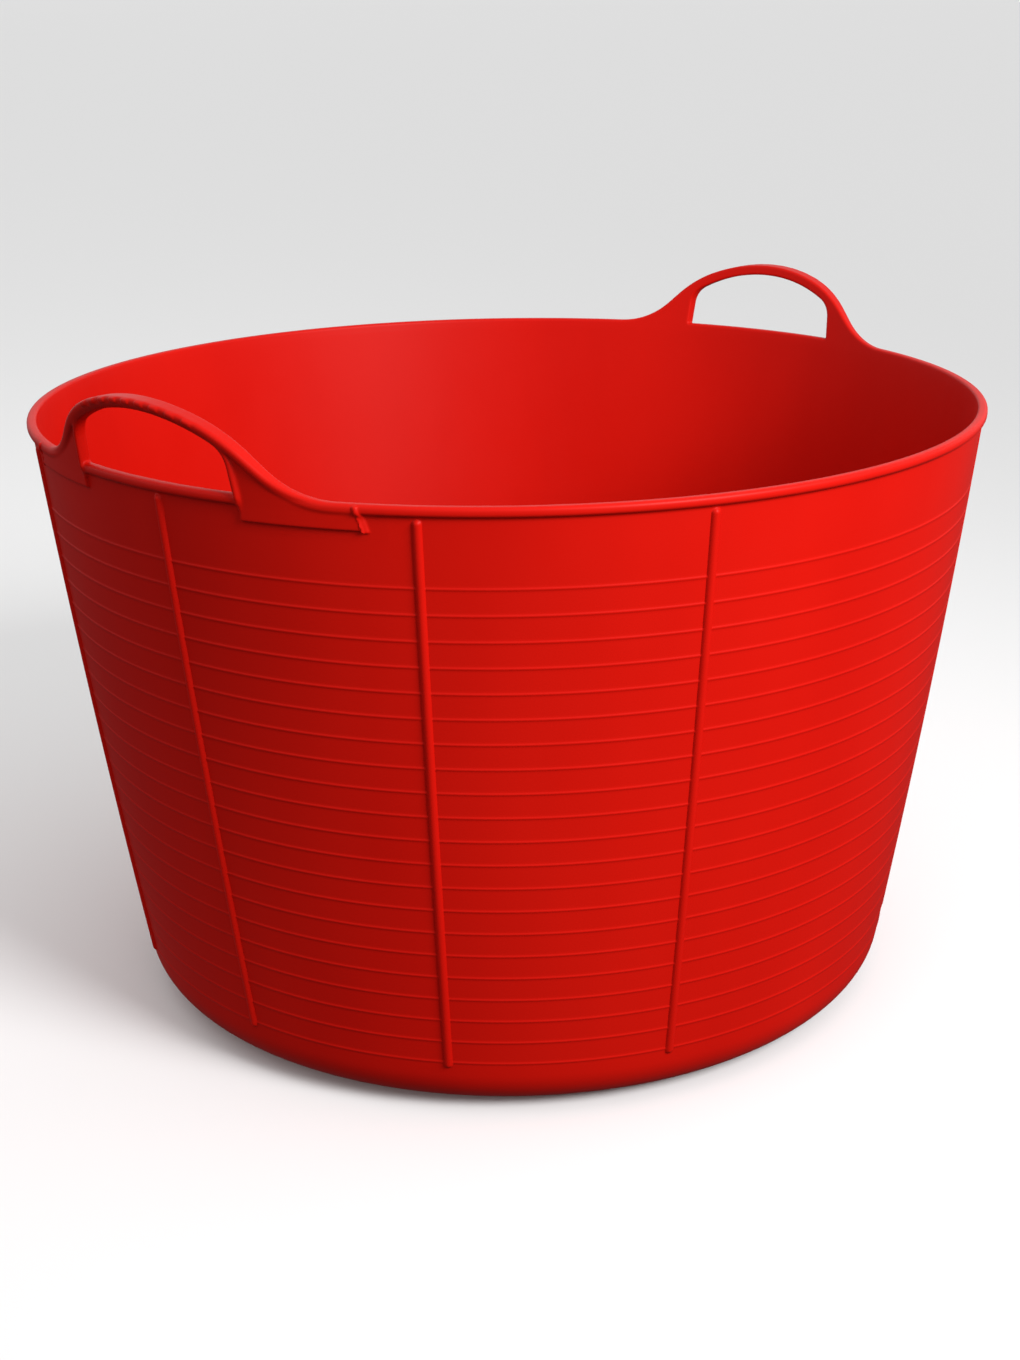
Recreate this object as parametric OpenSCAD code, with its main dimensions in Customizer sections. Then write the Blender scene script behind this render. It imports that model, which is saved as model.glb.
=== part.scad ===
// Flexible two-handled mixing tub, moulded in one soft plastic.
// The tub stands on the XY plane with its axis on Z, and its handles are at -Y (front) and +Y (rear).
// Each named region of the moulding is its own solid, and neighbours meet face to face.
// A handle bends on its legs, which is drawn as a round living hinge across both legs.

/* [Tub] */
// Outer radius of the rim lip
rim_r = 290; // [280:1:300]
// Height of the rim above the ground
rim_z = 368; // [360:1:380]
// Outer radius of the wall's slope carried on down to the ground
base_r = 237; // [230:1:245]
// Thickness of the wall
wall_t = 3.5; // [2.5:0.1:4.5]
// Outer radius of the rounded corner under the wall
corner_r = 30; // [24:1:36]
// Thickness of the floor
floor_t = 4; // [3.5:0.1:6]

/* [Base] */
// Gap between the floor and the ground
foot_h = 2.5; // [1.5:0.1:4]
// Outer radius of the ring that the tub stands on
foot_r = 204; // [190:1:206]
// Width of that ring
foot_w = 7; // [4:0.5:12]
// Radius of the moulding gate left under the floor
gate_r = 7; // [4:0.5:12]

/* [Rim] */
// Height of the rolled lip, and its thickness where it runs over a handle's arch
lip_h = 5.5; // [5:0.1:5.8]
// How far the lip stands out from the wall
lip_out = 2; // [1.6:0.1:3]

/* [Ribs and hoops] */
// Angle between neighbouring upright ribs
rib_pitch = 30; // [28:1:32]
// Angle from the middle of a handle to the first rib
rib_turn = 0.8; // [0:0.1:1.5]
// Width of a rib
rib_w = 5; // [4:0.1:6]
// How far a rib stands out from the wall
rib_out = 2; // [1.5:0.1:2.4]
// Gap between the lip and the top of a rib
rib_top_gap = 1.5; // [1:0.5:4]
// Height of the foot of a rib above the ground
rib_foot_z = 33; // [33:1:60]
// Number of fine hoops around the wall
hoop_count = 21; // [5:1:21]
// Spacing of the hoops
hoop_pitch = 14.4; // [12:0.1:14.4]
// Depth of the first hoop below the rim
first_hoop = 43.5; // [30:0.5:44]
// Height of one hoop's raised band
hoop_w = 1.6; // [1.2:0.1:2.4]
// How far a hoop stands out from the wall
hoop_out = 0.5; // [0.3:0.05:0.8]

/* [Handles] */
// Height of the top of a handle above the rim
arch_h = 44.8; // [44.8:0.1:46]
// Radius of the top of the arch
arch_top_r = 120; // [116:1:126]
// Radius of the arch's shoulders
arch_shoulder_r = 75; // [70:1:78]
// Radius of the sweep from the rim up into the arch
arch_foot_r = 50; // [44:1:54]
// Depth of the grip outside the wall at the top of the arch
grip_out = 7.5; // [7:0.5:9]
// How far the handle's web and leg pads stand out from the wall
pad_out = 1.8; // [1.2:0.1:2.4]
// Depth of the leg pads below the rim
pad_h = 14; // [12:0.5:16]
// Width of the short rib at the end of each leg pad
tick_w = 2.2; // [2:0.1:3.5]
// How far that rib stands out from the pad and the lip
tick_out = 1; // [0.6:0.1:1.4]
// Slant of that rib
tick_slant = 12; // [8:1:20]
// Half width of the handle from its centre to the end tick, along the chord
pad_half = 123; // [119:1:126]

/* [Finger opening] */
// Half width of the opening at the rim
open_half = 58.5; // [55:0.5:59]
// Height of the opening above the rim
open_h = 38.3; // [37:0.1:38.3]
// Radius of the top of the opening
open_top_r = 110; // [104:1:116]
// Radius of the opening's top corners
open_corner_r = 14; // [11:0.5:15]
// Thickness of the edge turned out around the opening
edge_t = 3; // [2.5:0.1:3.5]

/* [Handle bend] */
// Height of the bending axis above the rim
hinge_up = 15; // [14:0.5:16]
// Radius of the round bending zone
hinge_r = 9.5; // [9:0.1:10]
// Clearance around the bending zone
hinge_gap = 0.3; // [0.2:0.05:0.4]

/* [Grip nubs] */
// Number of slanted nubs on top of each handle
nub_count = 9; // [5:1:9]
// Angle between neighbouring nubs, seen from the centre of the arch's top curve
nub_step = 4.8; // [4.2:0.1:4.9]
// Length of a nub
nub_len = 6; // [5:0.5:8]
// How far a nub stands out from the grip
nub_out = 0.8; // [0.6:0.1:1.2]
// Slant of a nub across the grip
nub_slant = 32; // [20:1:40]

/* [Hidden] */

$fn = 180;
red = "#d2180c";
eps = 0.01;

// Slope of the wall: the radius gained for each unit of height
slope = (rim_r - lip_out - base_r) / rim_z;
slant = sqrt(1 + slope * slope);
lean = atan(slope);

// Outer radius of the wall's cone at a height, which the handles carry on above the rim
function wall_r(z) = base_r + slope * z;

// The rounded corner's centre, and where its arc meets the wall
corner_z = foot_h + corner_r;
corner_c = wall_r(corner_z) - corner_r * slant;
wall_z = corner_z - corner_r * slope / slant;
lip_z = rim_z - lip_h;
top_z = rim_z + arch_h;

// Points on an arc about c, from angle a0 to a1 measured from straight up, clockwise
arc_steps = 8;
function arc(c, r, a0, a1, n = arc_steps) =
    [for (i = [0:n]) let (a = a0 + (a1 - a0) * i / n) c + r * [sin(a), cos(a)]];
function reversed(pts) = [for (i = [len(pts) - 1:-1:0]) pts[i]];
function mirrored(pts) = [for (p = reversed(pts)) [-p[0], p[1]]];
function raised(pts, dz) = [for (p = pts) [p[0], p[1] + dz]];

// Outline of the arch over the rim, in chord distance and height above the rim
arch_turn = 20.5;
arch_fall = 43.6;
arch_top_c = [0, arch_h - arch_top_r];
arch_shoulder_c = arch_top_c + (arch_top_r - arch_shoulder_r) * [sin(arch_turn), cos(arch_turn)];
shoulder_end = arch_shoulder_c + arch_shoulder_r * [sin(arch_fall), cos(arch_fall)];
sweep_rise = arch_foot_r * (1 - cos(arch_fall));
sweep_start = shoulder_end[0] + (shoulder_end[1] - sweep_rise) / tan(arch_fall);
arch_foot_c = [sweep_start + arch_foot_r * sin(arch_fall), arch_foot_r];
arch_half = arch_foot_c[0];

// Right half of the arch outline, from the middle outwards, set in by t
function arch_side(t) = concat(
    arc(arch_top_c, arch_top_r - t, 0, arch_turn),
    arc(arch_shoulder_c, arch_shoulder_r - t, arch_turn, arch_fall),
    arc(arch_foot_c, arch_foot_r + t, 180 + arch_fall, 180));
function arch_line(t) = raised(concat(mirrored(arch_side(t)), arch_side(t)), rim_z);

// Right half of the finger opening's outline, from the middle outwards, set out by t
open_lean = 1;
open_top_c = [0, open_h - open_top_r];
open_corner_x = open_half - open_lean - open_corner_r;
open_corner_turn = asin(open_corner_x / (open_top_r - open_corner_r));
open_corner_c = open_top_c + (open_top_r - open_corner_r) * [sin(open_corner_turn), cos(open_corner_turn)];
function open_side(t, foot) = concat(
    arc(open_top_c, open_top_r + t, 0, open_corner_turn),
    arc(open_corner_c, open_corner_r + t, open_corner_turn, 86),
    [[open_half + t, foot]]);
function open_line(t, foot) =
    raised(concat(mirrored(open_side(t, foot)), open_side(t, foot)), rim_z);

// The bending axis runs straight across both legs, at the middle of their depth
hinge_z = rim_z + hinge_up;
hinge_y = -283;
hinge_half = 84;

// Chord distance of the end of the pads at a height
function tick_x(z) = pad_half - (z - rim_z + pad_h) * tan(tick_slant);

// Half angle of each handle's sector of the rim, and a reach past everything
sector = 30;
far = rim_r + 40;

// Ring sector over one handle, with its radial section drawn in radius and height
module sector_ring(section) {
    rotate_extrude(angle = 2 * sector, start = 270 - sector)
        polygon(section);
}

// Straight prism across one handle, with its outline drawn in chord distance and height
module front_prism(outline) {
    translate([0, -far / 2, 0])
        rotate([90, 0, 0])
            linear_extrude(height = far / 2)
                polygon(outline);
}

// Block across one handle from chord x0 to x1 and from height z0 to z1
module front_block(x0, x1, z0, z1) {
    translate([x0, -far, z0])
        cube([x1 - x0, far / 2, z1 - z0]);
}

// Copy for both legs of a handle
module both_legs() {
    children();
    mirror([1, 0, 0])
        children();
}

module rear_copy() {
    rotate([0, 0, 180])
        children();
}

// Radial section of the wall's own thickness, between two heights
function wall_section(z0, z1, outer = 0) = [
    [wall_r(z0) - wall_t, z0],
    [wall_r(z0) + outer, z0],
    [wall_r(z1) + outer, z1],
    [wall_r(z1) - wall_t, z1]];

// Radial section outside the wall, between two heights
function skin_section(z0, z1, outer) = [
    [wall_r(z0), z0],
    [wall_r(z0) + outer, z0],
    [wall_r(z1) + outer, z1],
    [wall_r(z1), z1]];

// Radial section of the lip where it sweeps up and deepens into the grip
grip_section = [
    [wall_r(lip_z) - wall_t, lip_z],
    [rim_r, lip_z],
    [rim_r, rim_z],
    [wall_r(top_z) + grip_out, top_z],
    [wall_r(top_z) - wall_t, top_z]];

// Radial section of the edge turned out around the finger opening
edge_foot_z = lip_z - 2;
edge_knee_z = rim_z - 2;
edge_knee_out = 3.6;
edge_inset = 3;
edge_section = [
    [wall_r(edge_foot_z), edge_foot_z],
    [wall_r(edge_foot_z) + pad_out, edge_foot_z],
    [wall_r(edge_knee_z) + edge_knee_out, edge_knee_z],
    [wall_r(top_z) + grip_out - edge_inset, top_z],
    [wall_r(top_z) - wall_t, top_z],
    [wall_r(lip_z) - wall_t, lip_z],
    [wall_r(lip_z), lip_z]];

// Everything above the bending axis, with the round bending zone added
module moving_zone(gap) {
    front_block(-pad_half, pad_half, hinge_z, top_z + 20);
    translate([-hinge_half - gap, hinge_y, hinge_z])
        rotate([0, 90, 0])
            cylinder(r = hinge_r + gap, h = 2 * (hinge_half + gap));
}

module keep_moving() {
    intersection() {
        children();
        moving_zone(0);
    }
}

module keep_fixed() {
    difference() {
        children();
        moving_zone(hinge_gap);
    }
}

// Whole lip over a handle, whole turned-out edge and whole web, before the bend divides them
module whole_grip() {
    intersection() {
        sector_ring(grip_section);
        front_prism(concat(arch_line(0), reversed(arch_line(lip_h))));
    }
}

module under_arch() {
    front_prism(concat([[-arch_half, rim_z - 60]], arch_line(0), [[arch_half, rim_z - 60]]));
}

module under_grip() {
    front_prism(concat([[-arch_half, rim_z - 60]], arch_line(lip_h), [[arch_half, rim_z - 60]]));
}

module opening_hole(t) {
    front_prism(concat([[-open_half - t, rim_z - 60]], open_line(t, 0), [[open_half + t, rim_z - 60]]));
}

module whole_edge() {
    intersection() {
        difference() {
            sector_ring(edge_section);
            opening_hole(0);
        }
        opening_hole(edge_t);
        under_grip();
    }
}

module whole_web() {
    intersection() {
        difference() {
            sector_ring(wall_section(lip_z, top_z, pad_out));
            opening_hole(edge_t);
        }
        under_grip();
    }
}

// ---- Tub ----

module base_floor() {
    color(red)
        translate([0, 0, foot_h])
            cylinder(r = corner_c, h = floor_t);
}

module base_corner() {
    reach = 2 * corner_r;
    color(red)
        rotate_extrude()
            intersection() {
                translate([corner_c, corner_z])
                    difference() {
                        circle(r = corner_r);
                        circle(r = corner_r - wall_t);
                    }
                polygon([[corner_c, corner_z], [corner_c, corner_z - reach],
                    [corner_c + reach, corner_z - reach], [corner_c + reach, corner_z - slope * reach]]);
            }
}

module foot_ring() {
    color(red)
        difference() {
            cylinder(r = foot_r, h = foot_h);
            translate([0, 0, -eps])
                cylinder(r = foot_r - foot_w, h = foot_h + 2 * eps);
        }
}

module gate_mark() {
    drop = foot_h / 2;
    color(red)
        translate([0, 0, foot_h - drop])
            cylinder(r = gate_r, h = drop);
}

module tub_wall() {
    foot_in = wall_t / slant;
    color(red)
        rotate_extrude()
            polygon([[wall_r(wall_z) - foot_in, wall_z + foot_in * slope], [wall_r(wall_z), wall_z],
                [wall_r(lip_z), lip_z], [wall_r(lip_z) - wall_t, lip_z]]);
}

module hoop(z) {
    half = hoop_w / 2;
    rotate_extrude()
        polygon([[wall_r(z - half), z - half], [wall_r(z) + hoop_out, z - half / 2],
            [wall_r(z) + hoop_out, z + half / 2], [wall_r(z + half), z + half]]);
}

// One copy at each rib: every pitch from each handle, but not halfway between the handles
module at_ribs() {
    for (handle_angle = [0, 180], step = [-2:2])
        rotate([0, 0, handle_angle + rib_turn + step * rib_pitch])
            children();
}

// Fine hoops, which stop at the sides of the ribs
module wall_hoops() {
    color(red)
        difference() {
            for (i = [0:hoop_count - 1])
                hoop(rim_z - first_hoop - i * hoop_pitch);
            at_ribs()
                translate([-rib_w / 2, -far, 0])
                    cube([rib_w, far / 2, rim_z]);
        }
}

// Bar laid along the wall's slope, with a round face that stands out by rib_out
module rib_bar() {
    face_r = (rib_w * rib_w / 4 + rib_out * rib_out) / (2 * rib_out);
    crown = arc([0, rib_out - face_r], face_r, -90, 90);
    top = lip_z - rib_top_gap;
    translate([0, -wall_r(rib_foot_z), rib_foot_z])
        rotate([lean, 0, 0])
            linear_extrude(height = (top - rib_foot_z) * slant)
                polygon([for (p = crown) [p[0], -p[1]]]);
}

module wall_ribs() {
    color(red)
        difference() {
            at_ribs()
                rib_bar();
            cylinder(r1 = base_r, r2 = wall_r(rim_z), h = rim_z, $fn = 720);
        }
}

// Rolled lip all round, with a half-round top
module rim_ring() {
    top_r = (rim_r - wall_r(rim_z) + wall_t) / 2;
    rotate_extrude() {
        polygon([[wall_r(lip_z) - wall_t, lip_z], [rim_r, lip_z],
            [rim_r, rim_z - top_r], [rim_r - 2 * top_r, rim_z - top_r]]);
        intersection() {
            translate([rim_r - top_r, rim_z - top_r])
                circle(r = top_r, $fn = 48);
            translate([rim_r - 2 * top_r, rim_z - top_r])
                square([2 * top_r, top_r]);
        }
    }
}

module right_rim_lip() {
    color(red)
        difference() {
            rim_ring();
            translate([-far, -far, 0])
                cube([far + arch_half, 2 * far, 2 * rim_z]);
        }
}

module left_rim_lip() {
    rear_copy()
        right_rim_lip();
}

// ---- Fixed part of each handle, drawn at the front ----

module sill_lip() {
    color(red)
        intersection() {
            rim_ring();
            front_block(-open_half, open_half, lip_z - 1, rim_z + 1);
        }
}

// Leg web above the wall's top and the pad that carries it down over the wall
module right_leg() {
    color(red) {
        keep_fixed()
            intersection() {
                whole_web();
                front_block(0, pad_half, lip_z, top_z);
            }
        intersection() {
            sector_ring(skin_section(rim_z - pad_h, lip_z, pad_out));
            front_prism([[open_half + edge_t, rim_z - pad_h], [open_half + edge_t, lip_z],
                [tick_x(lip_z), lip_z], [tick_x(rim_z - pad_h), rim_z - pad_h]]);
        }
    }
}

module left_leg() {
    mirror([1, 0, 0])
        right_leg();
}

module leg_lips() {
    color(red)
        keep_fixed()
            whole_grip();
}

module leg_edges() {
    color(red)
        keep_fixed()
            whole_edge();
}

// Short slanted rib at the end of each pad, which runs on over the lip
module end_ticks() {
    foot = rim_z - pad_h - tick_out;
    head = rim_z + tick_out;
    crest = rim_r - lip_out - 1.5;
    color(red)
        both_legs()
            difference() {
                intersection() {
                    sector_ring([[wall_r(foot), foot], [wall_r(foot) + pad_out + tick_out, foot],
                        [rim_r + tick_out, lip_z], [rim_r + tick_out, rim_z - 2],
                        [rim_r - 1.5, head], [crest, head], [crest - 1, rim_z - 2],
                        [wall_r(lip_z), lip_z]]);
                    front_prism([[tick_x(foot), foot], [tick_x(foot) + tick_w, foot],
                        [tick_x(head) + tick_w, head], [tick_x(head), head]]);
                }
                rim_ring();
            }
}

// ---- Moving part of each handle, drawn at the front ----

module handle_web() {
    color(red)
        keep_moving()
            whole_web();
}

module handle_edge() {
    color(red)
        keep_moving()
            whole_edge();
}

module handle_grip() {
    color(red)
        keep_moving()
            whole_grip();
}

// Slanted nubs along the top of the arch, for the fingers
module handle_nubs() {
    nub_r = 2.2;
    mid_out = grip_out / 2;
    color(red)
        difference() {
            for (i = [0:nub_count - 1]) {
                turn = (i - (nub_count - 1) / 2) * nub_step;
                p = arch_top_c + arch_top_r * [sin(turn), cos(turn)];
                reach = wall_r(rim_z + p[1]) + mid_out;
                rotate([0, 0, asin(p[0] / reach)])
                    translate([0, -reach, rim_z + p[1]])
                        rotate([0, turn, 0])
                            translate([0, 0, nub_out - nub_r])
                                rotate([90, 0, nub_slant])
                                    cylinder(r = nub_r, h = nub_len, center = true, $fn = 32);
            }
            under_arch();
        }
}

// ---- Both handles ----

module front_sill_lip() {
    sill_lip();
}

module front_left_leg() {
    left_leg();
}

module front_right_leg() {
    right_leg();
}

module front_leg_lips() {
    leg_lips();
}

module front_leg_edges() {
    leg_edges();
}

module front_end_ticks() {
    end_ticks();
}

module front_handle_web() {
    handle_web();
}

module front_handle_edge() {
    handle_edge();
}

module front_handle_grip() {
    handle_grip();
}

module front_handle_nubs() {
    handle_nubs();
}

module rear_sill_lip() {
    rear_copy()
        sill_lip();
}

module rear_left_leg() {
    rear_copy()
        left_leg();
}

module rear_right_leg() {
    rear_copy()
        right_leg();
}

module rear_leg_lips() {
    rear_copy()
        leg_lips();
}

module rear_leg_edges() {
    rear_copy()
        leg_edges();
}

module rear_end_ticks() {
    rear_copy()
        end_ticks();
}

module rear_handle_web() {
    rear_copy()
        handle_web();
}

module rear_handle_edge() {
    rear_copy()
        handle_edge();
}

module rear_handle_grip() {
    rear_copy()
        handle_grip();
}

module rear_handle_nubs() {
    rear_copy()
        handle_nubs();
}

base_floor();
base_corner();
foot_ring();
gate_mark();
tub_wall();
wall_hoops();
wall_ribs();
left_rim_lip();
right_rim_lip();
front_sill_lip();
front_left_leg();
front_right_leg();
front_leg_lips();
front_leg_edges();
front_end_ticks();
front_handle_web();
front_handle_edge();
front_handle_grip();
front_handle_nubs();
rear_sill_lip();
rear_left_leg();
rear_right_leg();
rear_leg_lips();
rear_leg_edges();
rear_end_ticks();
rear_handle_web();
rear_handle_edge();
rear_handle_grip();
rear_handle_nubs();
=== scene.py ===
"""Looks of the flexible mixing tub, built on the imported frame.

The tub is one soft moulding. It is made here as three smooth closed meshes: the body of revolution with
its hoops and ribs, and a handle with its stretch of rim at the front and at the rear. They meet on plain
cuts inside the plastic. Shapes are worked out in millimetres, and a mesh is stored in metres.
"""

import math

import bmesh
import bpy
import numpy as np
from mathutils import Matrix, Quaternion, Vector


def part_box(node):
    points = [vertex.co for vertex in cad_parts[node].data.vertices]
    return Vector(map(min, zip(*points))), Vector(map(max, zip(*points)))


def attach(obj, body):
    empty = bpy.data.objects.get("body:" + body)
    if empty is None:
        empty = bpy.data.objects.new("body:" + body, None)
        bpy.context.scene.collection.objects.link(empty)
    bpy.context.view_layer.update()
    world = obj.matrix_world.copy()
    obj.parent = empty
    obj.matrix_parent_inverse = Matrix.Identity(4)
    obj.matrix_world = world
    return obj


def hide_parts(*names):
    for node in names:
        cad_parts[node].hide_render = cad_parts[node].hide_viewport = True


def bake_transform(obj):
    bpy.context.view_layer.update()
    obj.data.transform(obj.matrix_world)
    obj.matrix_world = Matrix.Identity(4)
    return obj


MM = 0.001
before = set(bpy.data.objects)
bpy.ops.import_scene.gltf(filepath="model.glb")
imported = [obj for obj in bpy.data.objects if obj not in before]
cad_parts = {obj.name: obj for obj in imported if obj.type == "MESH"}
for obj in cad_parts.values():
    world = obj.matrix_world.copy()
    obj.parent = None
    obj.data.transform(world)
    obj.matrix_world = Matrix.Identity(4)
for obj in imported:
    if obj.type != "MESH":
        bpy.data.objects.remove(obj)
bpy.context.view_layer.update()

# ---- Sizes, in millimetres ----


def box_mm(node):
    """Lowest and highest corner of a CAD node, in millimetres."""
    low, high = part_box(node)
    return np.array(low) / MM, np.array(high) / MM


lip_low, lip_high = box_mm("right_rim_lip")
RIM_R = lip_high[0]
RIM_Z = lip_high[2]
LIP_H = RIM_Z - lip_low[2]

wall_low, wall_high = box_mm("tub_wall")
WALL_TOP_R = wall_high[0]
WALL_TOP_Z = wall_high[2]
WALL_T = 3.5

floor_low, floor_high = box_mm("base_floor")
FLOOR_R = floor_high[0]
FLOOR_Z = floor_high[2]
FOOT_H = floor_low[2]
CORNER_R = 30.0
CORNER_Z = FOOT_H + CORNER_R
FOOT_R = box_mm("foot_ring")[1][0]
FOOT_W = 7.0
GATE_R = box_mm("gate_mark")[1][0]
GATE_Z = box_mm("gate_mark")[0][2]

# The wall's slope is the tangent from its top edge to the rounded corner's circle
rise = WALL_TOP_Z - CORNER_Z
run = WALL_TOP_R - FLOOR_R
LEAN = math.atan2(run, rise) - math.asin(CORNER_R / math.hypot(run, rise))
SLOPE = math.tan(LEAN)
COS_LEAN = math.cos(LEAN)

# The soft wall bows out a little between the corner and the lip, so it meets the corner at a wider angle
CROWN = 2.0
WALL_FOOT_Z = CORNER_Z - CORNER_R * math.sin(LEAN)
FOOT_LEAN = LEAN + 4 * CROWN / (WALL_TOP_Z - WALL_FOOT_Z)

# Hoops and ribs
HOOP_COUNT = 21
HOOP_PITCH = 14.4
FIRST_HOOP = 43.5
HOOP_HALF = 1.3
HOOP_OUT = 0.32
RIB_W = 5.0
RIB_OUT = 2.0
RIB_FACE_R = (RIB_W**2 / 4 + RIB_OUT**2) / (2 * RIB_OUT)
RIB_LOW_Z, RIB_HIGH_Z = box_mm("wall_ribs")[0][2], box_mm("wall_ribs")[1][2]
RIB_PITCH = 30.0
RIB_TURN = 0.8

# Handles
grip_low, grip_high = box_mm("front_handle_grip")
ARCH_H = grip_high[2] - RIM_Z
GRIP_REACH = -grip_low[1]
LIP_ROUND = 2.2
INNER_ROUND = 1.5
ARCH_TOP_R = 120.0
ARCH_SHOULDER_R = 75.0
ARCH_FOOT_R = 50.0
ARCH_TURN = math.radians(20.5)
ARCH_FALL = math.radians(43.6)
PAD_OUT = 1.8
PAD_H = 14.0
PAD_HALF = 123.0
TICK_W = 2.2
TICK_OUT = 1.0
TICK_SLANT = math.tan(math.radians(12))
OPEN_HALF = 58.5
OPEN_H = 38.3
OPEN_TOP_R = 110.0
OPEN_CORNER_R = 14.0
OPEN_LEAN = 1.0
EDGE_T = 3.0
EDGE_FOOT = -LIP_H - 2
EDGE_KNEE = 3.6
EDGE_INSET = 3.0
NUB_COUNT = 9
NUB_PITCH = 10.1
NUB_W = 5.0
NUB_OUT = 0.8
NUB_SLANT = math.tan(math.radians(32))

# Fillets where each feature runs into the rest
LIP_FILLET = 1.8
WEB_FILLET = 1.0
EDGE_FILLET = 1.6
RIB_FILLET = 0.8
TICK_FILLET = 0.7
NUB_FILLET = 1.0

# Edges that bend by more than this are shaded sharp
SHARP_ANGLE = math.radians(55)

# The handle meshes end at this height and at this angle from the handle's middle
CUT_Z = RIM_Z - 19.0
CUT_ANGLE = math.radians(27.9)


def wall_r(z):
    """Outer radius of the wall at a height, and of the slope that it follows above the lip."""
    part = np.clip((z - WALL_FOOT_Z) / (WALL_TOP_Z - WALL_FOOT_Z), 0, 1)
    return WALL_TOP_R + SLOPE * (z - WALL_TOP_Z) + 4 * CROWN * part * (1 - part)


def inner_r(z):
    """Inner radius of the wall at a height."""
    return wall_r(z) - WALL_T


# ---- Distance fields: negative inside the plastic ----


def soft_min(a, b, k):
    """Joins two fields, with a fillet about k wide."""
    h = np.clip(0.5 + 0.5 * (b - a) / k, 0, 1)
    return b + (a - b) * h - k * h * (1 - h)


def soft_max(a, b, k):
    """Keeps what two fields share, with the edge softened over about k."""
    return -soft_min(-a, -b, k)


def rounded(a, b, r):
    """Where two slabs cross, with their shared edge rounded to r."""
    a = a + r
    b = b + r
    return np.minimum(np.maximum(a, b), 0) + np.hypot(np.maximum(a, 0), np.maximum(b, 0)) - r


def arc(cx, cz, r, a0, a1, n=10):
    """Points on an arc, from angle a0 to a1 clockwise from straight up."""
    a = np.linspace(a0, a1, n + 1)
    return np.stack([cx + r * np.sin(a), cz + r * np.cos(a)], axis=1)


def arch_outline():
    """Right half of the handle's outline over the rim, from the middle outwards."""
    top_z = ARCH_H - ARCH_TOP_R
    shoulder_x = (ARCH_TOP_R - ARCH_SHOULDER_R) * math.sin(ARCH_TURN)
    shoulder_z = top_z + (ARCH_TOP_R - ARCH_SHOULDER_R) * math.cos(ARCH_TURN)
    end_x = shoulder_x + ARCH_SHOULDER_R * math.sin(ARCH_FALL)
    end_z = shoulder_z + ARCH_SHOULDER_R * math.cos(ARCH_FALL)
    sweep_rise = ARCH_FOOT_R * (1 - math.cos(ARCH_FALL))
    foot_x = end_x + (end_z - sweep_rise) / math.tan(ARCH_FALL) + ARCH_FOOT_R * math.sin(ARCH_FALL)
    return np.concatenate([
        arc(0, top_z, ARCH_TOP_R, 0, ARCH_TURN),
        arc(shoulder_x, shoulder_z, ARCH_SHOULDER_R, ARCH_TURN, ARCH_FALL),
        arc(foot_x, ARCH_FOOT_R, ARCH_FOOT_R, math.pi + ARCH_FALL, math.pi, 16),
        [[foot_x + 60, 0]],
    ])


def opening_outline():
    """Right half of the finger opening's outline, carried straight down below the rim."""
    top_z = OPEN_H - OPEN_TOP_R
    corner_x = OPEN_HALF - OPEN_LEAN - OPEN_CORNER_R
    turn = math.asin(corner_x / (OPEN_TOP_R - OPEN_CORNER_R))
    corner_z = top_z + (OPEN_TOP_R - OPEN_CORNER_R) * math.cos(turn)
    return np.concatenate([
        arc(0, top_z, OPEN_TOP_R, 0, turn),
        arc(corner_x, corner_z, OPEN_CORNER_R, turn, math.radians(86)),
        [[OPEN_HALF, 0], [OPEN_HALF, -60]],
    ])


ARCH = arch_outline()
OPENING = opening_outline()


def line_distance(x, z, points):
    """Distance from each (x, z) to a line of straight pieces."""
    best = np.full(np.broadcast(x, z).shape, 1e9)
    for (ax, az), (bx, bz) in zip(points[:-1], points[1:]):
        ex, ez = bx - ax, bz - az
        t = np.clip(((x - ax) * ex + (z - az) * ez) / max(ex * ex + ez * ez, 1e-9), 0, 1)
        best = np.minimum(best, np.hypot(x - ax - t * ex, z - az - t * ez))
    return best


def below_arch(x, up):
    """Signed distance to the handle's outline, negative below it."""
    gap = line_distance(x, up, ARCH)
    over = up > np.interp(x, ARCH[:, 0], ARCH[:, 1])
    return np.where(over, gap, -gap)


def inside_opening(x, up):
    """Signed distance to the opening's outline, negative in the hole."""
    gap = line_distance(x, up, OPENING)
    half = np.interp(-up, -OPENING[:, 1], OPENING[:, 0])
    hole = (x < half) & (up < OPEN_H)
    return np.where(hole, -gap, gap)


def rim_field(rho, up, top):
    """Wall and rolled lip. up is the height above the rim, and top the distance to the outline above."""
    reach = RIM_R + (GRIP_REACH - RIM_R) * np.maximum(up, 0) / ARCH_H
    lip = rounded(rho - reach, np.abs(top + LIP_H / 2) - LIP_H / 2, LIP_ROUND)
    wall = np.maximum((rho - wall_r(up + RIM_Z)) * COS_LEAN, up + 4)
    return soft_min(wall, lip, LIP_FILLET), lip


def close_inside(field, rho, up):
    """Cuts the field off at the smooth inner face, with a rounded edge."""
    return soft_max(field, (inner_r(up + RIM_Z) - rho) * COS_LEAN, INNER_ROUND)


def rib_height(across, beyond):
    """Height of a rib over the wall, at a distance across it and beyond its round end."""
    square = np.maximum(RIB_FACE_R**2 - across**2 - beyond**2, 0)
    return np.sqrt(square) - (RIB_FACE_R - RIB_OUT)


def web_field(x, up, out, top, opening, tick_x):
    """Web over the wall's top and the pad that carries it down, ended by the slanted tick."""
    edge = np.maximum(np.maximum(top + 3, 1 - opening), np.maximum(-(up + PAD_H), x - tick_x))
    return rounded(edge, out - PAD_OUT, 0.8)


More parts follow.
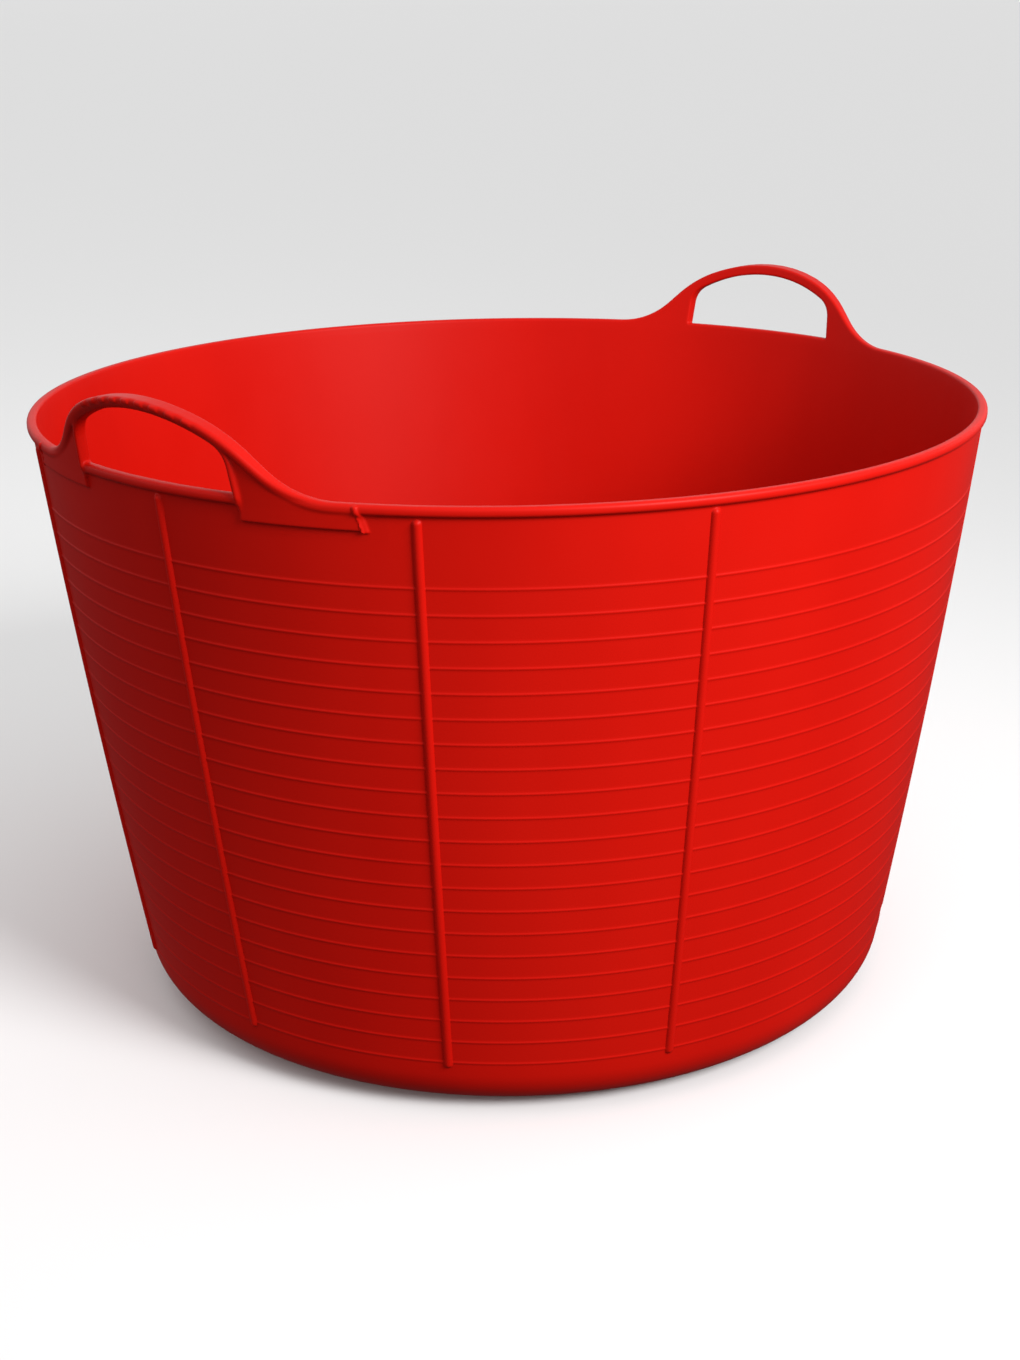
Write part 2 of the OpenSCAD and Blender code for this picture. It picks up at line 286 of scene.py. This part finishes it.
def turned_edge_field(up, out, top, opening):
    """Edge turned out around the finger opening."""
    edge_top = GRIP_REACH - EDGE_INSET - wall_r(RIM_Z + ARCH_H)
    reach = np.interp(up, [EDGE_FOOT, -2, ARCH_H], [PAD_OUT - 0.6, EDGE_KNEE, edge_top])
    edge = rounded(np.abs(opening - EDGE_T / 2) - EDGE_T / 2, out - reach, 1.3)
    return np.maximum(np.maximum(edge, EDGE_FOOT - up), top + 2)


def sill_field(x, rho, up):
    """Lip across the foot of the finger opening."""
    sill = rounded(rho - RIM_R, np.abs(up + LIP_H / 2) - LIP_H / 2, LIP_ROUND)
    return np.maximum(sill, x - OPEN_HALF - 1)


def middle_rib_field(px, rho, up, out):
    """Top of the rib that stands under the sill."""
    beyond = np.maximum(up + RIM_Z - (RIB_HIGH_Z - RIB_FACE_R), 0)
    rib_x = px - rho * math.radians(RIB_TURN)
    return np.sqrt(rib_x**2 + beyond**2 + (out + RIB_FACE_R - RIB_OUT) ** 2) - RIB_FACE_R


def tick_field(x, up, tick_x, field):
    """Slanted tick at the end of the pad, which stands out from the field so far."""
    across = np.abs(x - tick_x - TICK_W / 2) - TICK_W / 2
    return np.maximum(rounded(across, field - TICK_OUT, 0.6), np.maximum(-(up + PAD_H + 1), up + 0.8))


def nub_field(px, rho, up, top, lip):
    """Slanted nubs along the outer edge of the grip."""
    turn = np.arctan2(px, up + ARCH_TOP_R - ARCH_H) * ARCH_TOP_R
    along = turn + (rho - GRIP_REACH) * NUB_SLANT
    last = (NUB_COUNT - 1) // 2
    middle = np.clip(np.round(along / NUB_PITCH), -last, last) * NUB_PITCH
    stripe = np.abs(along - middle) - NUB_W / 2
    band = np.abs(top + 1.9) - 1.3
    band = np.maximum(band, wall_r(up + RIM_Z) + 3.0 - rho)
    return soft_max(soft_max(stripe, band, 0.8), lip - NUB_OUT, 0.5)


def handle_field(px, py, up, top=None, opening=None):
    """The whole front handle with its stretch of rim and wall. py is negative, outwards."""
    x = np.abs(px)
    rho = np.hypot(px, py)
    if top is None:
        top = below_arch(x, up)
        opening = inside_opening(x, up)
    out = (rho - wall_r(up + RIM_Z)) * COS_LEAN
    tick_x = PAD_HALF - (up + PAD_H) * TICK_SLANT
    field, lip = rim_field(rho, up, top)
    field = soft_min(field, web_field(x, up, out, top, opening, tick_x), WEB_FILLET)
    field = soft_min(field, turned_edge_field(up, out, top, opening), EDGE_FILLET)
    field = soft_min(field, sill_field(x, rho, up), LIP_FILLET)
    field = soft_min(field, middle_rib_field(px, rho, up, out), RIB_FILLET)
    field = soft_min(field, tick_field(x, up, tick_x, field), TICK_FILLET)
    field = soft_min(field, nub_field(px, rho, up, top, lip), NUB_FILLET)
    return close_inside(field, rho, up)


# ---- Meshes ----


def store(name, points, faces):
    """New smooth mesh object from points in millimetres."""
    mesh = bpy.data.meshes.new(name)
    mesh.from_pydata([tuple(p) for p in np.asarray(points) * MM], [], [tuple(f) for f in faces])
    mesh.validate()
    mesh.polygons.foreach_set("use_smooth", [True] * len(mesh.polygons))
    mesh.set_sharp_from_angle(angle=SHARP_ANGLE)
    mesh.update()
    piece = bpy.data.objects.new(name, mesh)
    bpy.context.scene.collection.objects.link(piece)
    return piece


def rim_profile():
    """Points round the rim's section, from the inner face at CUT_Z over the lip to the outer face there."""

    def field(p):
        rho, up = p
        return float(close_inside(rim_field(rho, up, up)[0], rho, up))

    def slope_of(p):
        e = 0.02
        gx = field((p[0] + e, p[1])) - field((p[0] - e, p[1]))
        gz = field((p[0], p[1] + e)) - field((p[0], p[1] - e))
        return np.array([gx, gz]) / (2 * e)

    base = CUT_Z - RIM_Z
    points = [np.array([inner_r(CUT_Z), base])]
    step = 0.7
    while len(points) < 400:
        p = points[-1]
        g = slope_of(p)
        p = p + step * np.array([g[1], -g[0]]) / np.linalg.norm(g)
        for _ in range(4):
            g = slope_of(p)
            p = p - field(p) * g / (g @ g)
        if p[0] > inner_r(CUT_Z) + 2 and p[1] < base + step / 2:
            break
        points.append(p)
    points.append(np.array([wall_r(CUT_Z), base]))
    return [(p[0], p[1] + RIM_Z) for p in points]


def rib_angles():
    """Angles of the ribs from the front handle's middle. None stands midway between the handles."""
    steps = [k * RIB_PITCH for k in range(-2, 3)]
    return [math.radians(a + RIB_TURN) for a in steps + [180 + s for s in steps]]


def relief(across, z):
    """Height of the ribs and hoops over the wall, at a distance across the nearest rib."""
    nearest = np.round((RIM_Z - FIRST_HOOP - z) / HOOP_PITCH)
    nearest = np.clip(nearest, 0, HOOP_COUNT - 1)
    off = np.clip(np.abs(RIM_Z - FIRST_HOOP - nearest * HOOP_PITCH - z) / HOOP_HALF, 0, 1)
    hoop = HOOP_OUT * (0.5 + 0.5 * np.cos(math.pi * off))
    beyond = np.maximum(z - (RIB_HIGH_Z - RIB_FACE_R), (RIB_LOW_Z + RIB_FACE_R) - z)
    rib = rib_height(across, np.maximum(beyond, 0))
    return soft_max(rib, hoop, 0.5)


def wall_rows():
    """Heights of the rows down the outer wall, close together on hoops and rib ends."""
    offsets = np.array([2.4, 1.3, 0.95, 0.6, 0.3, 0, -0.3, -0.6, -0.95, -1.3, -2.4])
    rows = [RIM_Z - FIRST_HOOP - k * HOOP_PITCH + o for k in range(HOOP_COUNT) for o in offsets]
    rows += [RIM_Z - FIRST_HOOP - (k + 0.5) * HOOP_PITCH for k in range(-1, HOOP_COUNT - 1)]
    rows += list(np.linspace(RIB_LOW_Z - 0.6, RIB_LOW_Z + 3, 7))
    rows = sorted((z for z in rows if WALL_FOOT_Z + 0.3 < z < CUT_Z - 1), reverse=True)
    kept = [rows[0]]
    for z in rows[1:]:
        if kept[-1] - z > 0.22:
            kept.append(z)
    return kept


def under_profile():
    """Rounded corner, foot ring and underside, from the wall's foot to the middle."""
    points = []
    for a in np.linspace(math.pi / 2 + FOOT_LEAN, math.pi, 15):
        points.append((FLOOR_R + CORNER_R * math.sin(a), CORNER_Z + CORNER_R * math.cos(a)))
    soft = 0.8
    outer, inner = FOOT_R, FOOT_R - FOOT_W
    points += [(outer + 1.6, FOOT_H), (outer + 0.5, FOOT_H - 0.25), (outer, soft + 0.2)]
    points += [(outer - 0.25, 0.25), (outer - soft, 0), (inner + soft, 0), (inner + 0.25, 0.25)]
    points += [(inner, soft + 0.2), (inner - 0.5, FOOT_H - 0.25), (inner - 1.6, FOOT_H)]
    points += [(r, FOOT_H) for r in (180, 150, 115, 80, 45, 20, GATE_R + 1.2)]
    points += [(GATE_R + 0.3, FOOT_H - 0.2), (GATE_R, GATE_Z + 0.3), (GATE_R - 0.6, GATE_Z)]
    points += [(2.6, GATE_Z), (1.8, GATE_Z + 0.35), (0.8, GATE_Z + 0.5)]
    return points


def inside_profile():
    """Floor, inner corner and inner wall, from the middle up to CUT_Z."""
    points = [(r, FLOOR_Z) for r in (6, 20, 50, 85, 120, 150, 175, 192, 203)]
    inner_corner = CORNER_R - WALL_T
    for a in np.linspace(math.pi, math.pi / 2 + FOOT_LEAN, 13):
        z = CORNER_Z + inner_corner * math.cos(a)
        points.append((FLOOR_R + inner_corner * math.sin(a), max(z, FLOOR_Z)))
    top = CORNER_Z - inner_corner * math.sin(LEAN)
    for z in np.linspace(top, CUT_Z, 14)[1:]:
        points.append((inner_r(z), z))
    return points


def columns():
    """Each column's angle, its distance across a rib or None, and that rib's angle."""
    made = []
    ribs = rib_angles()
    for rib in ribs:
        for off in (-3.5, -3.0, -2.6, -2.2, -1.7, -1.1, -0.5, 0, 0.5, 1.1, 1.7, 2.2, 2.6, 3.0, 3.5):
            made.append((rib % math.tau, off, rib))
    for cut in (CUT_ANGLE, -CUT_ANGLE, math.pi + CUT_ANGLE, math.pi - CUT_ANGLE):
        made.append((cut % math.tau, None, None))
    taken = [angle for angle, off, rib in made]
    for k in range(180):
        angle = k * math.tau / 180
        gap = min(abs((angle - t + math.pi) % math.tau - math.pi) for t in taken)
        if gap > math.radians(0.95):
            made.append((angle, None, None))
    return sorted(made, key=lambda c: (c[0] + (c[1] or 0) / RIM_R) % math.tau)


def in_handle(angle):
    """Whether an angle lies in a handle's stretch of rim."""
    away = min(angle % math.pi, math.pi - angle % math.pi)
    return away < CUT_ANGLE


def place(profile, first_outer, cols):
    """Points of every column along a profile, with the relief where the profile is the outer wall."""
    rows = []
    for i, (r, z) in enumerate(profile):
        span = max(r, FLOOR_R + CORNER_R)
        angle = np.array([c[0] if c[1] is None else c[2] + c[1] / span for c in cols])
        across = np.array([1e3 if c[1] is None else c[1] for c in cols])
        on_wall = i >= first_outer and WALL_FOOT_Z <= z < WALL_TOP_Z - 1 and abs(r - wall_r(z)) < 0.05
        reach = r + (relief(across, z) * COS_LEAN if on_wall else np.zeros(len(cols)))
        heights = np.full(len(cols), z)
        rows.append(np.stack([reach * np.sin(angle), -reach * np.cos(angle), heights], axis=1))
    return np.array(rows)


def strip_faces(left, right):
    """Faces between two neighbouring columns of point numbers."""
    return [(left[i], right[i], right[i + 1], left[i + 1]) for i in range(len(left) - 1)]


def build_shell():
    """The tub without its handles, as one closed mesh."""
    inside = inside_profile()
    rim = rim_profile()
    outside = [(wall_r(z), z) for z in wall_rows()]
    low = inside + [rim[-1]] + outside + under_profile()
    loop = rim[1:-1]
    turned_in = len(inside)
    cols = columns()
    n = len(cols)
    low_points = place(low, turned_in, cols)
    loop_points = place(loop, len(loop) // 2, cols)
    points = list(low_points.reshape(-1, 3)) + list(loop_points.reshape(-1, 3))

    def low_at(i, c):
        return i * n + c % n

    def low_column(c, first, end):
        return [low_at(i, c) for i in range(first, end)]

    def rim_column(c):
        """Point numbers over the lip, from the inner wall to the outer one."""
        over = [len(low) * n + i * n + c % n for i in range(len(loop))]
        return [low_at(turned_in - 1, c)] + over + [low_at(turned_in, c)]

    # Between the handles the rim runs over the lip, and at a handle a flat band closes the cut wall
    middles = [0.5 * (cols[c][0] + (cols[c + 1][0] if c + 1 < n else math.tau)) for c in range(n)]
    at_handle = [in_handle(a) for a in middles]
    faces = []
    for c in range(n):
        faces += strip_faces(low_column(c, 0, turned_in), low_column(c + 1, 0, turned_in))
        faces += strip_faces(low_column(c, turned_in, len(low)), low_column(c + 1, turned_in, len(low)))
        if at_handle[c]:
            band = turned_in - 1, turned_in + 1
            faces += strip_faces(low_column(c, *band), low_column(c + 1, *band))
        else:
            faces += strip_faces(rim_column(c), rim_column(c + 1))
        if at_handle[c - 1] != at_handle[c]:
            ring = rim_column(c)
            faces.append(tuple(ring if at_handle[c - 1] else reversed(ring)))

    # Middles of the floor and of the underside
    top_pole = len(points)
    points.append(np.array([0, 0, FLOOR_Z]))
    under_pole = len(points)
    points.append(np.array([0, 0, GATE_Z + 0.5]))
    for c in range(n):
        faces.append((top_pole, low_at(0, c + 1), low_at(0, c)))
        faces.append((under_pole, low_at(len(low) - 1, c), low_at(len(low) - 1, c + 1)))

    # Points that no face uses are left out, and the faces are turned to look outwards
    used = sorted({i for face in faces for i in face})
    order = {old: new for new, old in enumerate(used)}
    points = [points[i] for i in used]
    faces = [tuple(order[i] for i in reversed(f)) for f in faces]
    return store("tub_shell", points, faces)


def fill_pinches(field):
    """Fills grid squares whose inside corners only touch diagonally, so no edge has four faces."""
    for _ in range(6):
        pinched = 0
        for axis in range(3):
            view = np.moveaxis(field, axis, 0)
            a, b, c, d = view[:, :-1, :-1], view[:, 1:, :-1], view[:, 1:, 1:], view[:, :-1, 1:]
            cross = ((a < 0) == (c < 0)) & ((b < 0) == (d < 0)) & ((a < 0) != (b < 0))
            pinched += int(cross.sum())
            for corner in (a, b, c, d):
                corner[cross & (corner >= 0)] = -0.02
        if not pinched:
            break


def surface_net(field, origin, step):
    """Closed quad mesh where a sampled field crosses zero."""
    fill_pinches(field)
    inside = field < 0
    shape = np.array(field.shape) - 1
    corners = [(i, j, k) for i in (0, 1) for j in (0, 1) for k in (0, 1)]

    def shifted(a, c):
        return a[c[0]:c[0] + shape[0], c[1]:c[1] + shape[1], c[2]:c[2] + shape[2]]

    count = sum(shifted(inside, c).astype(np.int8) for c in corners)
    cells = np.argwhere((count > 0) & (count < 8))
    values = {c: field[cells[:, 0] + c[0], cells[:, 1] + c[1], cells[:, 2] + c[2]] for c in corners}
    total = np.zeros((len(cells), 3))
    hits = np.zeros(len(cells))
    for c in corners:
        for axis in range(3):
            if c[axis]:
                continue
            d = tuple(1 if a == axis else v for a, v in enumerate(c))
            a, b = values[c], values[d]
            cross = (a < 0) != (b < 0)
            t = np.where(cross, a / np.where(cross, a - b, 1), 0)
            point = np.array(c, float) + np.zeros((len(cells), 3))
            point[:, axis] += t
            total += point * cross[:, None]
            hits += cross
    points = origin + step * (cells + total / hits[:, None])
    index = np.full(tuple(shape), -1, np.int64)
    index[tuple(cells.T)] = np.arange(len(cells))
    faces = []
    for axis in range(3):
        u, v = [a for a in range(3) if a != axis]
        low = [slice(None)] * 3
        high = [slice(None)] * 3
        low[axis] = slice(0, -1)
        high[axis] = slice(1, None)
        change = inside[tuple(low)] != inside[tuple(high)]
        edge = np.argwhere(change)
        keep = (edge[:, u] > 0) & (edge[:, v] > 0) & (edge[:, u] < shape[u]) & (edge[:, v] < shape[v])
        edge = edge[keep]
        ring = []
        for du, dv in ((-1, -1), (0, -1), (0, 0), (-1, 0)):
            cell = edge.copy()
            cell[:, u] += du
            cell[:, v] += dv
            ring.append(index[tuple(cell.T)])
        quads = np.stack(ring, axis=1)
        flip = inside[tuple(edge.T)] == (axis == 1)
        quads[flip] = quads[flip][:, ::-1]
        faces.append(quads)
    return points, np.concatenate(faces)


def settle(points, passes=3):
    """Moves points onto the exact surface of the handle's field."""
    e = 0.04
    for _ in range(passes):
        x, y, up = points.T
        value = handle_field(x, y, up)
        slope = np.stack([
            handle_field(x + e, y, up) - handle_field(x - e, y, up),
            handle_field(x, y + e, up) - handle_field(x, y - e, up),
            handle_field(x, y, up + e) - handle_field(x, y, up - e),
        ], axis=1) / (2 * e)
        size = np.maximum((slope**2).sum(axis=1), 0.25)
        move = -(value / size)[:, None] * slope
        reach = np.linalg.norm(move, axis=1)
        move *= np.minimum(1, 0.4 / np.maximum(reach, 1e-9))[:, None]
        points = points + move
    return points


def cut_off(bm, point, normal):
    """Cuts the mesh on a plane, drops the side that normal points to and closes the cut."""
    everything = bm.verts[:] + bm.edges[:] + bm.faces[:]
    cut = bmesh.ops.bisect_plane(
        bm, geom=everything, plane_co=point, plane_no=normal, clear_outer=True, dist=1e-7)
    edges = [g for g in cut["geom_cut"] if isinstance(g, bmesh.types.BMEdge) and g.is_boundary]
    bmesh.ops.edgeloop_fill(bm, edges=edges)


def build_handle(name, turn):
    """One handle with its stretch of rim, as a closed mesh turned about the tub's axis."""
    step = 0.8
    margin = 3 * step
    half = (RIM_R + 2) * math.sin(CUT_ANGLE) + margin
    xs = np.arange(-half, half + step, step)
    ys = np.arange(-(GRIP_REACH + 3), -inner_r(CUT_Z) * math.cos(CUT_ANGLE) + 2 * margin, step)
    ups = np.arange(CUT_Z - RIM_Z - margin, ARCH_H + 3, step)
    flat_x, flat_up = np.meshgrid(np.abs(xs), ups, indexing="ij")
    top = below_arch(flat_x, flat_up)[:, None, :]
    opening = inside_opening(flat_x, flat_up)[:, None, :]
    grid_x, grid_y, grid_up = np.meshgrid(xs, ys, ups, indexing="ij", sparse=True)
    field = handle_field(grid_x, grid_y, grid_up, top, opening)

    # Closed a little outside the cuts
    low_side = (CUT_Z - RIM_Z - 1.5 * step) - grid_up
    end_side = np.abs(grid_x) * math.cos(CUT_ANGLE) + grid_y * math.sin(CUT_ANGLE) - 1.5 * step
    closed = np.maximum(field, np.maximum(low_side, end_side))
    points, quads = surface_net(closed, np.array([xs[0], ys[0], ups[0]]), step)
    inside_cuts = points[:, 2] > CUT_Z - RIM_Z - 0.6 * step
    beyond_end = np.abs(points[:, 0]) * math.cos(CUT_ANGLE) + points[:, 1] * math.sin(CUT_ANGLE)
    inside_cuts &= beyond_end < 0.6 * step
    points[inside_cuts] = settle(points[inside_cuts])
    points[:, 2] += RIM_Z

    piece = store(name, points, quads)
    bm = bmesh.new()
    bm.from_mesh(piece.data)
    cut_off(bm, Vector((0, 0, CUT_Z * MM)), Vector((0, 0, -1)))
    for side in (1, -1):
        normal = Vector((side * math.cos(CUT_ANGLE), math.sin(CUT_ANGLE), 0))
        cut_off(bm, Vector((0, 0, 0)), normal)
    bmesh.ops.recalc_face_normals(bm, faces=bm.faces[:])
    bm.to_mesh(piece.data)
    bm.free()
    piece.data.polygons.foreach_set("use_smooth", [True] * len(piece.data.polygons))
    piece.data.set_sharp_from_angle(angle=SHARP_ANGLE)
    piece.data.transform(Matrix.Rotation(turn, 4, "Z"))
    piece.data.update()
    return piece


# ---- Material ----


def add_node(tree, kind, **inputs):
    """New shader node with the named inputs set."""
    node = tree.nodes.new(kind)
    for key, value in inputs.items():
        node.inputs[key.replace("_", " ")].default_value = value
    return node


def red_plastic():
    """Satin soft polyethylene with a fine moulded grain, in the mesh's own coordinates."""
    material = bpy.data.materials.new("red_flexible_plastic")
    material.use_nodes = True
    tree = material.node_tree
    link = tree.links.new
    shader = tree.nodes["Principled BSDF"]
    place = tree.nodes.new("ShaderNodeTexCoord")

    # Slow uneven pigment, stretched a little down the wall
    stretch = tree.nodes.new("ShaderNodeMapping")
    stretch.inputs["Scale"].default_value = (1, 1, 0.35)
    link(place.outputs["Object"], stretch.inputs["Vector"])
    cloud = add_node(tree, "ShaderNodeTexNoise", Scale=7.0, Detail=3.0, Roughness=0.55)
    link(stretch.outputs["Vector"], cloud.inputs["Vector"])
    pigment = tree.nodes.new("ShaderNodeValToRGB")
    pigment.color_ramp.elements[0].position = 0.3
    pigment.color_ramp.elements[0].color = (0.42, 0.0035, 0.0012, 1)
    pigment.color_ramp.elements[1].position = 0.72
    pigment.color_ramp.elements[1].color = (0.48, 0.005, 0.0018, 1)
    link(cloud.outputs["Fac"], pigment.inputs["Fac"])
    link(pigment.outputs["Color"], shader.inputs["Base Color"])

    # Gloss changes a little from patch to patch
    patch = add_node(tree, "ShaderNodeTexNoise", Scale=26.0, Detail=4.0, Roughness=0.6)
    link(place.outputs["Object"], patch.inputs["Vector"])
    gloss = tree.nodes.new("ShaderNodeMapRange")
    gloss.inputs["To Min"].default_value = 0.36
    gloss.inputs["To Max"].default_value = 0.50
    link(patch.outputs["Fac"], gloss.inputs["Value"])
    link(gloss.outputs["Result"], shader.inputs["Roughness"])

    # Fine moulded grain over a slow ripple
    grain = add_node(tree, "ShaderNodeTexNoise", Scale=900.0, Detail=2.0, Roughness=0.5)
    link(place.outputs["Object"], grain.inputs["Vector"])
    ripple = add_node(tree, "ShaderNodeTexNoise", Scale=18.0, Detail=2.0, Roughness=0.4)
    link(stretch.outputs["Vector"], ripple.inputs["Vector"])
    wave = add_node(tree, "ShaderNodeBump", Strength=0.25, Distance=0.0012)
    link(ripple.outputs["Fac"], wave.inputs["Height"])
    texture = add_node(tree, "ShaderNodeBump", Strength=0.35, Distance=0.00005)
    link(grain.outputs["Fac"], texture.inputs["Height"])
    link(wave.outputs["Normal"], texture.inputs["Normal"])
    link(texture.outputs["Normal"], shader.inputs["Normal"])

    shader.inputs["IOR"].default_value = 1.5
    shader.inputs["Specular IOR Level"].default_value = 0.08
    shader.inputs["Subsurface Weight"].default_value = 0.0
    return material


def floor_material():
    """Matt pale ground with a faint mottle."""
    material = bpy.data.materials.new("pale_floor")
    material.use_nodes = True
    tree = material.node_tree
    shader = tree.nodes["Principled BSDF"]
    mottle = add_node(tree, "ShaderNodeTexNoise", Scale=3.0, Detail=2.0)
    tone = tree.nodes.new("ShaderNodeValToRGB")
    tone.color_ramp.elements[0].color = (0.79, 0.79, 0.79, 1)
    tone.color_ramp.elements[1].color = (0.82, 0.82, 0.82, 1)
    tree.links.new(mottle.outputs["Fac"], tone.inputs["Fac"])
    tree.links.new(tone.outputs["Color"], shader.inputs["Base Color"])
    shader.inputs["Roughness"].default_value = 0.9
    return material


# ---- Camera, light and floor ----


def add_camera():
    """Looks down on the tub from its front right, as the photograph does."""
    azimuth = math.radians(39.8)
    pitch = 0.3328
    roll = -0.0138
    away = 4.3 * RIM_R * MM
    height = (RIM_Z + 0.8371 * RIM_R) * MM
    data = bpy.data.cameras.new("camera")
    data.sensor_fit = "AUTO"
    data.sensor_width = 36
    data.lens = 53.9
    data.shift_x = -0.0006
    data.clip_end = 200
    camera = bpy.data.objects.new("camera", data)
    camera.location = (away * math.sin(azimuth), -away * math.cos(azimuth), height)
    level = math.cos(pitch)
    ahead = Vector((-math.sin(azimuth) * level, math.cos(azimuth) * level, -math.sin(pitch)))
    camera.rotation_mode = "QUATERNION"
    camera.rotation_quaternion = ahead.to_track_quat("-Z", "Y") @ Quaternion((0, 0, 1), roll)
    bpy.context.scene.collection.objects.link(camera)
    bpy.context.scene.camera = camera


def add_panel(name, place, size, power, aim, spread):
    """Square light panel that faces a point, with its beam narrowed to an angle."""
    data = bpy.data.lights.new(name, "AREA")
    data.shape = "SQUARE"
    data.size = size
    data.energy = power
    data.spread = math.radians(spread)
    light = bpy.data.objects.new(name, data)
    light.location = place
    light.rotation_mode = "QUATERNION"
    light.rotation_quaternion = (Vector(aim) - Vector(place)).to_track_quat("-Z", "Y")
    bpy.context.scene.collection.objects.link(light)


def add_floor():
    """Large floor that the camera sees, but that gives the tub no bounced light or reflection."""
    side = 80
    mesh = bpy.data.meshes.new("floor")
    corners = [(-side, -side, 0), (side, -side, 0), (side, side, 0), (-side, side, 0)]
    mesh.from_pydata(corners, [], [(0, 1, 2, 3)])
    floor = bpy.data.objects.new("floor", mesh)
    mesh.materials.append(floor_material())
    bpy.context.scene.collection.objects.link(floor)
    floor.visible_diffuse = False
    floor.visible_glossy = False


def add_studio():
    """Even light from above, dim from below, with one soft panel at the tub's right."""
    world = bpy.data.worlds.new("studio")
    world.use_nodes = True
    tree = world.node_tree
    tree.nodes["Background"].inputs["Color"].default_value = (1, 1, 1, 1)
    direction = tree.nodes.new("ShaderNodeTexCoord")
    height = tree.nodes.new("ShaderNodeSeparateXYZ")
    tree.links.new(direction.outputs["Generated"], height.inputs["Vector"])
    glow = tree.nodes.new("ShaderNodeMapRange")
    glow.inputs["From Min"].default_value = -0.25
    glow.inputs["From Max"].default_value = 0.15
    glow.inputs["To Min"].default_value = 0.08
    glow.inputs["To Max"].default_value = 0.9
    tree.links.new(height.outputs["Z"], glow.inputs["Value"])
    tree.links.new(glow.outputs["Result"], tree.nodes["Background"].inputs["Strength"])
    bpy.context.scene.world = world
    bpy.context.scene.view_settings.view_transform = "Standard"
    add_panel("key", (1.5, -0.25, 1.15), 0.7, 8, (0.1, 0, 0.43), 72)


# ---- The object ----

add_camera()
add_studio()
add_floor()

plastic = red_plastic()
shell = build_shell()
shell_nodes = [
    "base_floor", "base_corner", "foot_ring", "gate_mark", "tub_wall",
    "wall_hoops", "wall_ribs", "left_rim_lip", "right_rim_lip",
]
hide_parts(*shell_nodes)
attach(shell, "tub")

handle_nodes = [
    "sill_lip", "left_leg", "right_leg", "leg_lips", "leg_edges", "end_ticks",
    "handle_web", "handle_edge", "handle_grip", "handle_nubs",
]
skins = [shell]
for side, turn in (("front", 0.0), ("rear", math.pi)):
    skin = build_handle(side + "_handle_skin", turn)
    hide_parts(*[side + "_" + node for node in handle_nodes])
    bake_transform(skin)
    skins.append(skin)

for skin in skins:
    skin.data.materials.append(plastic)
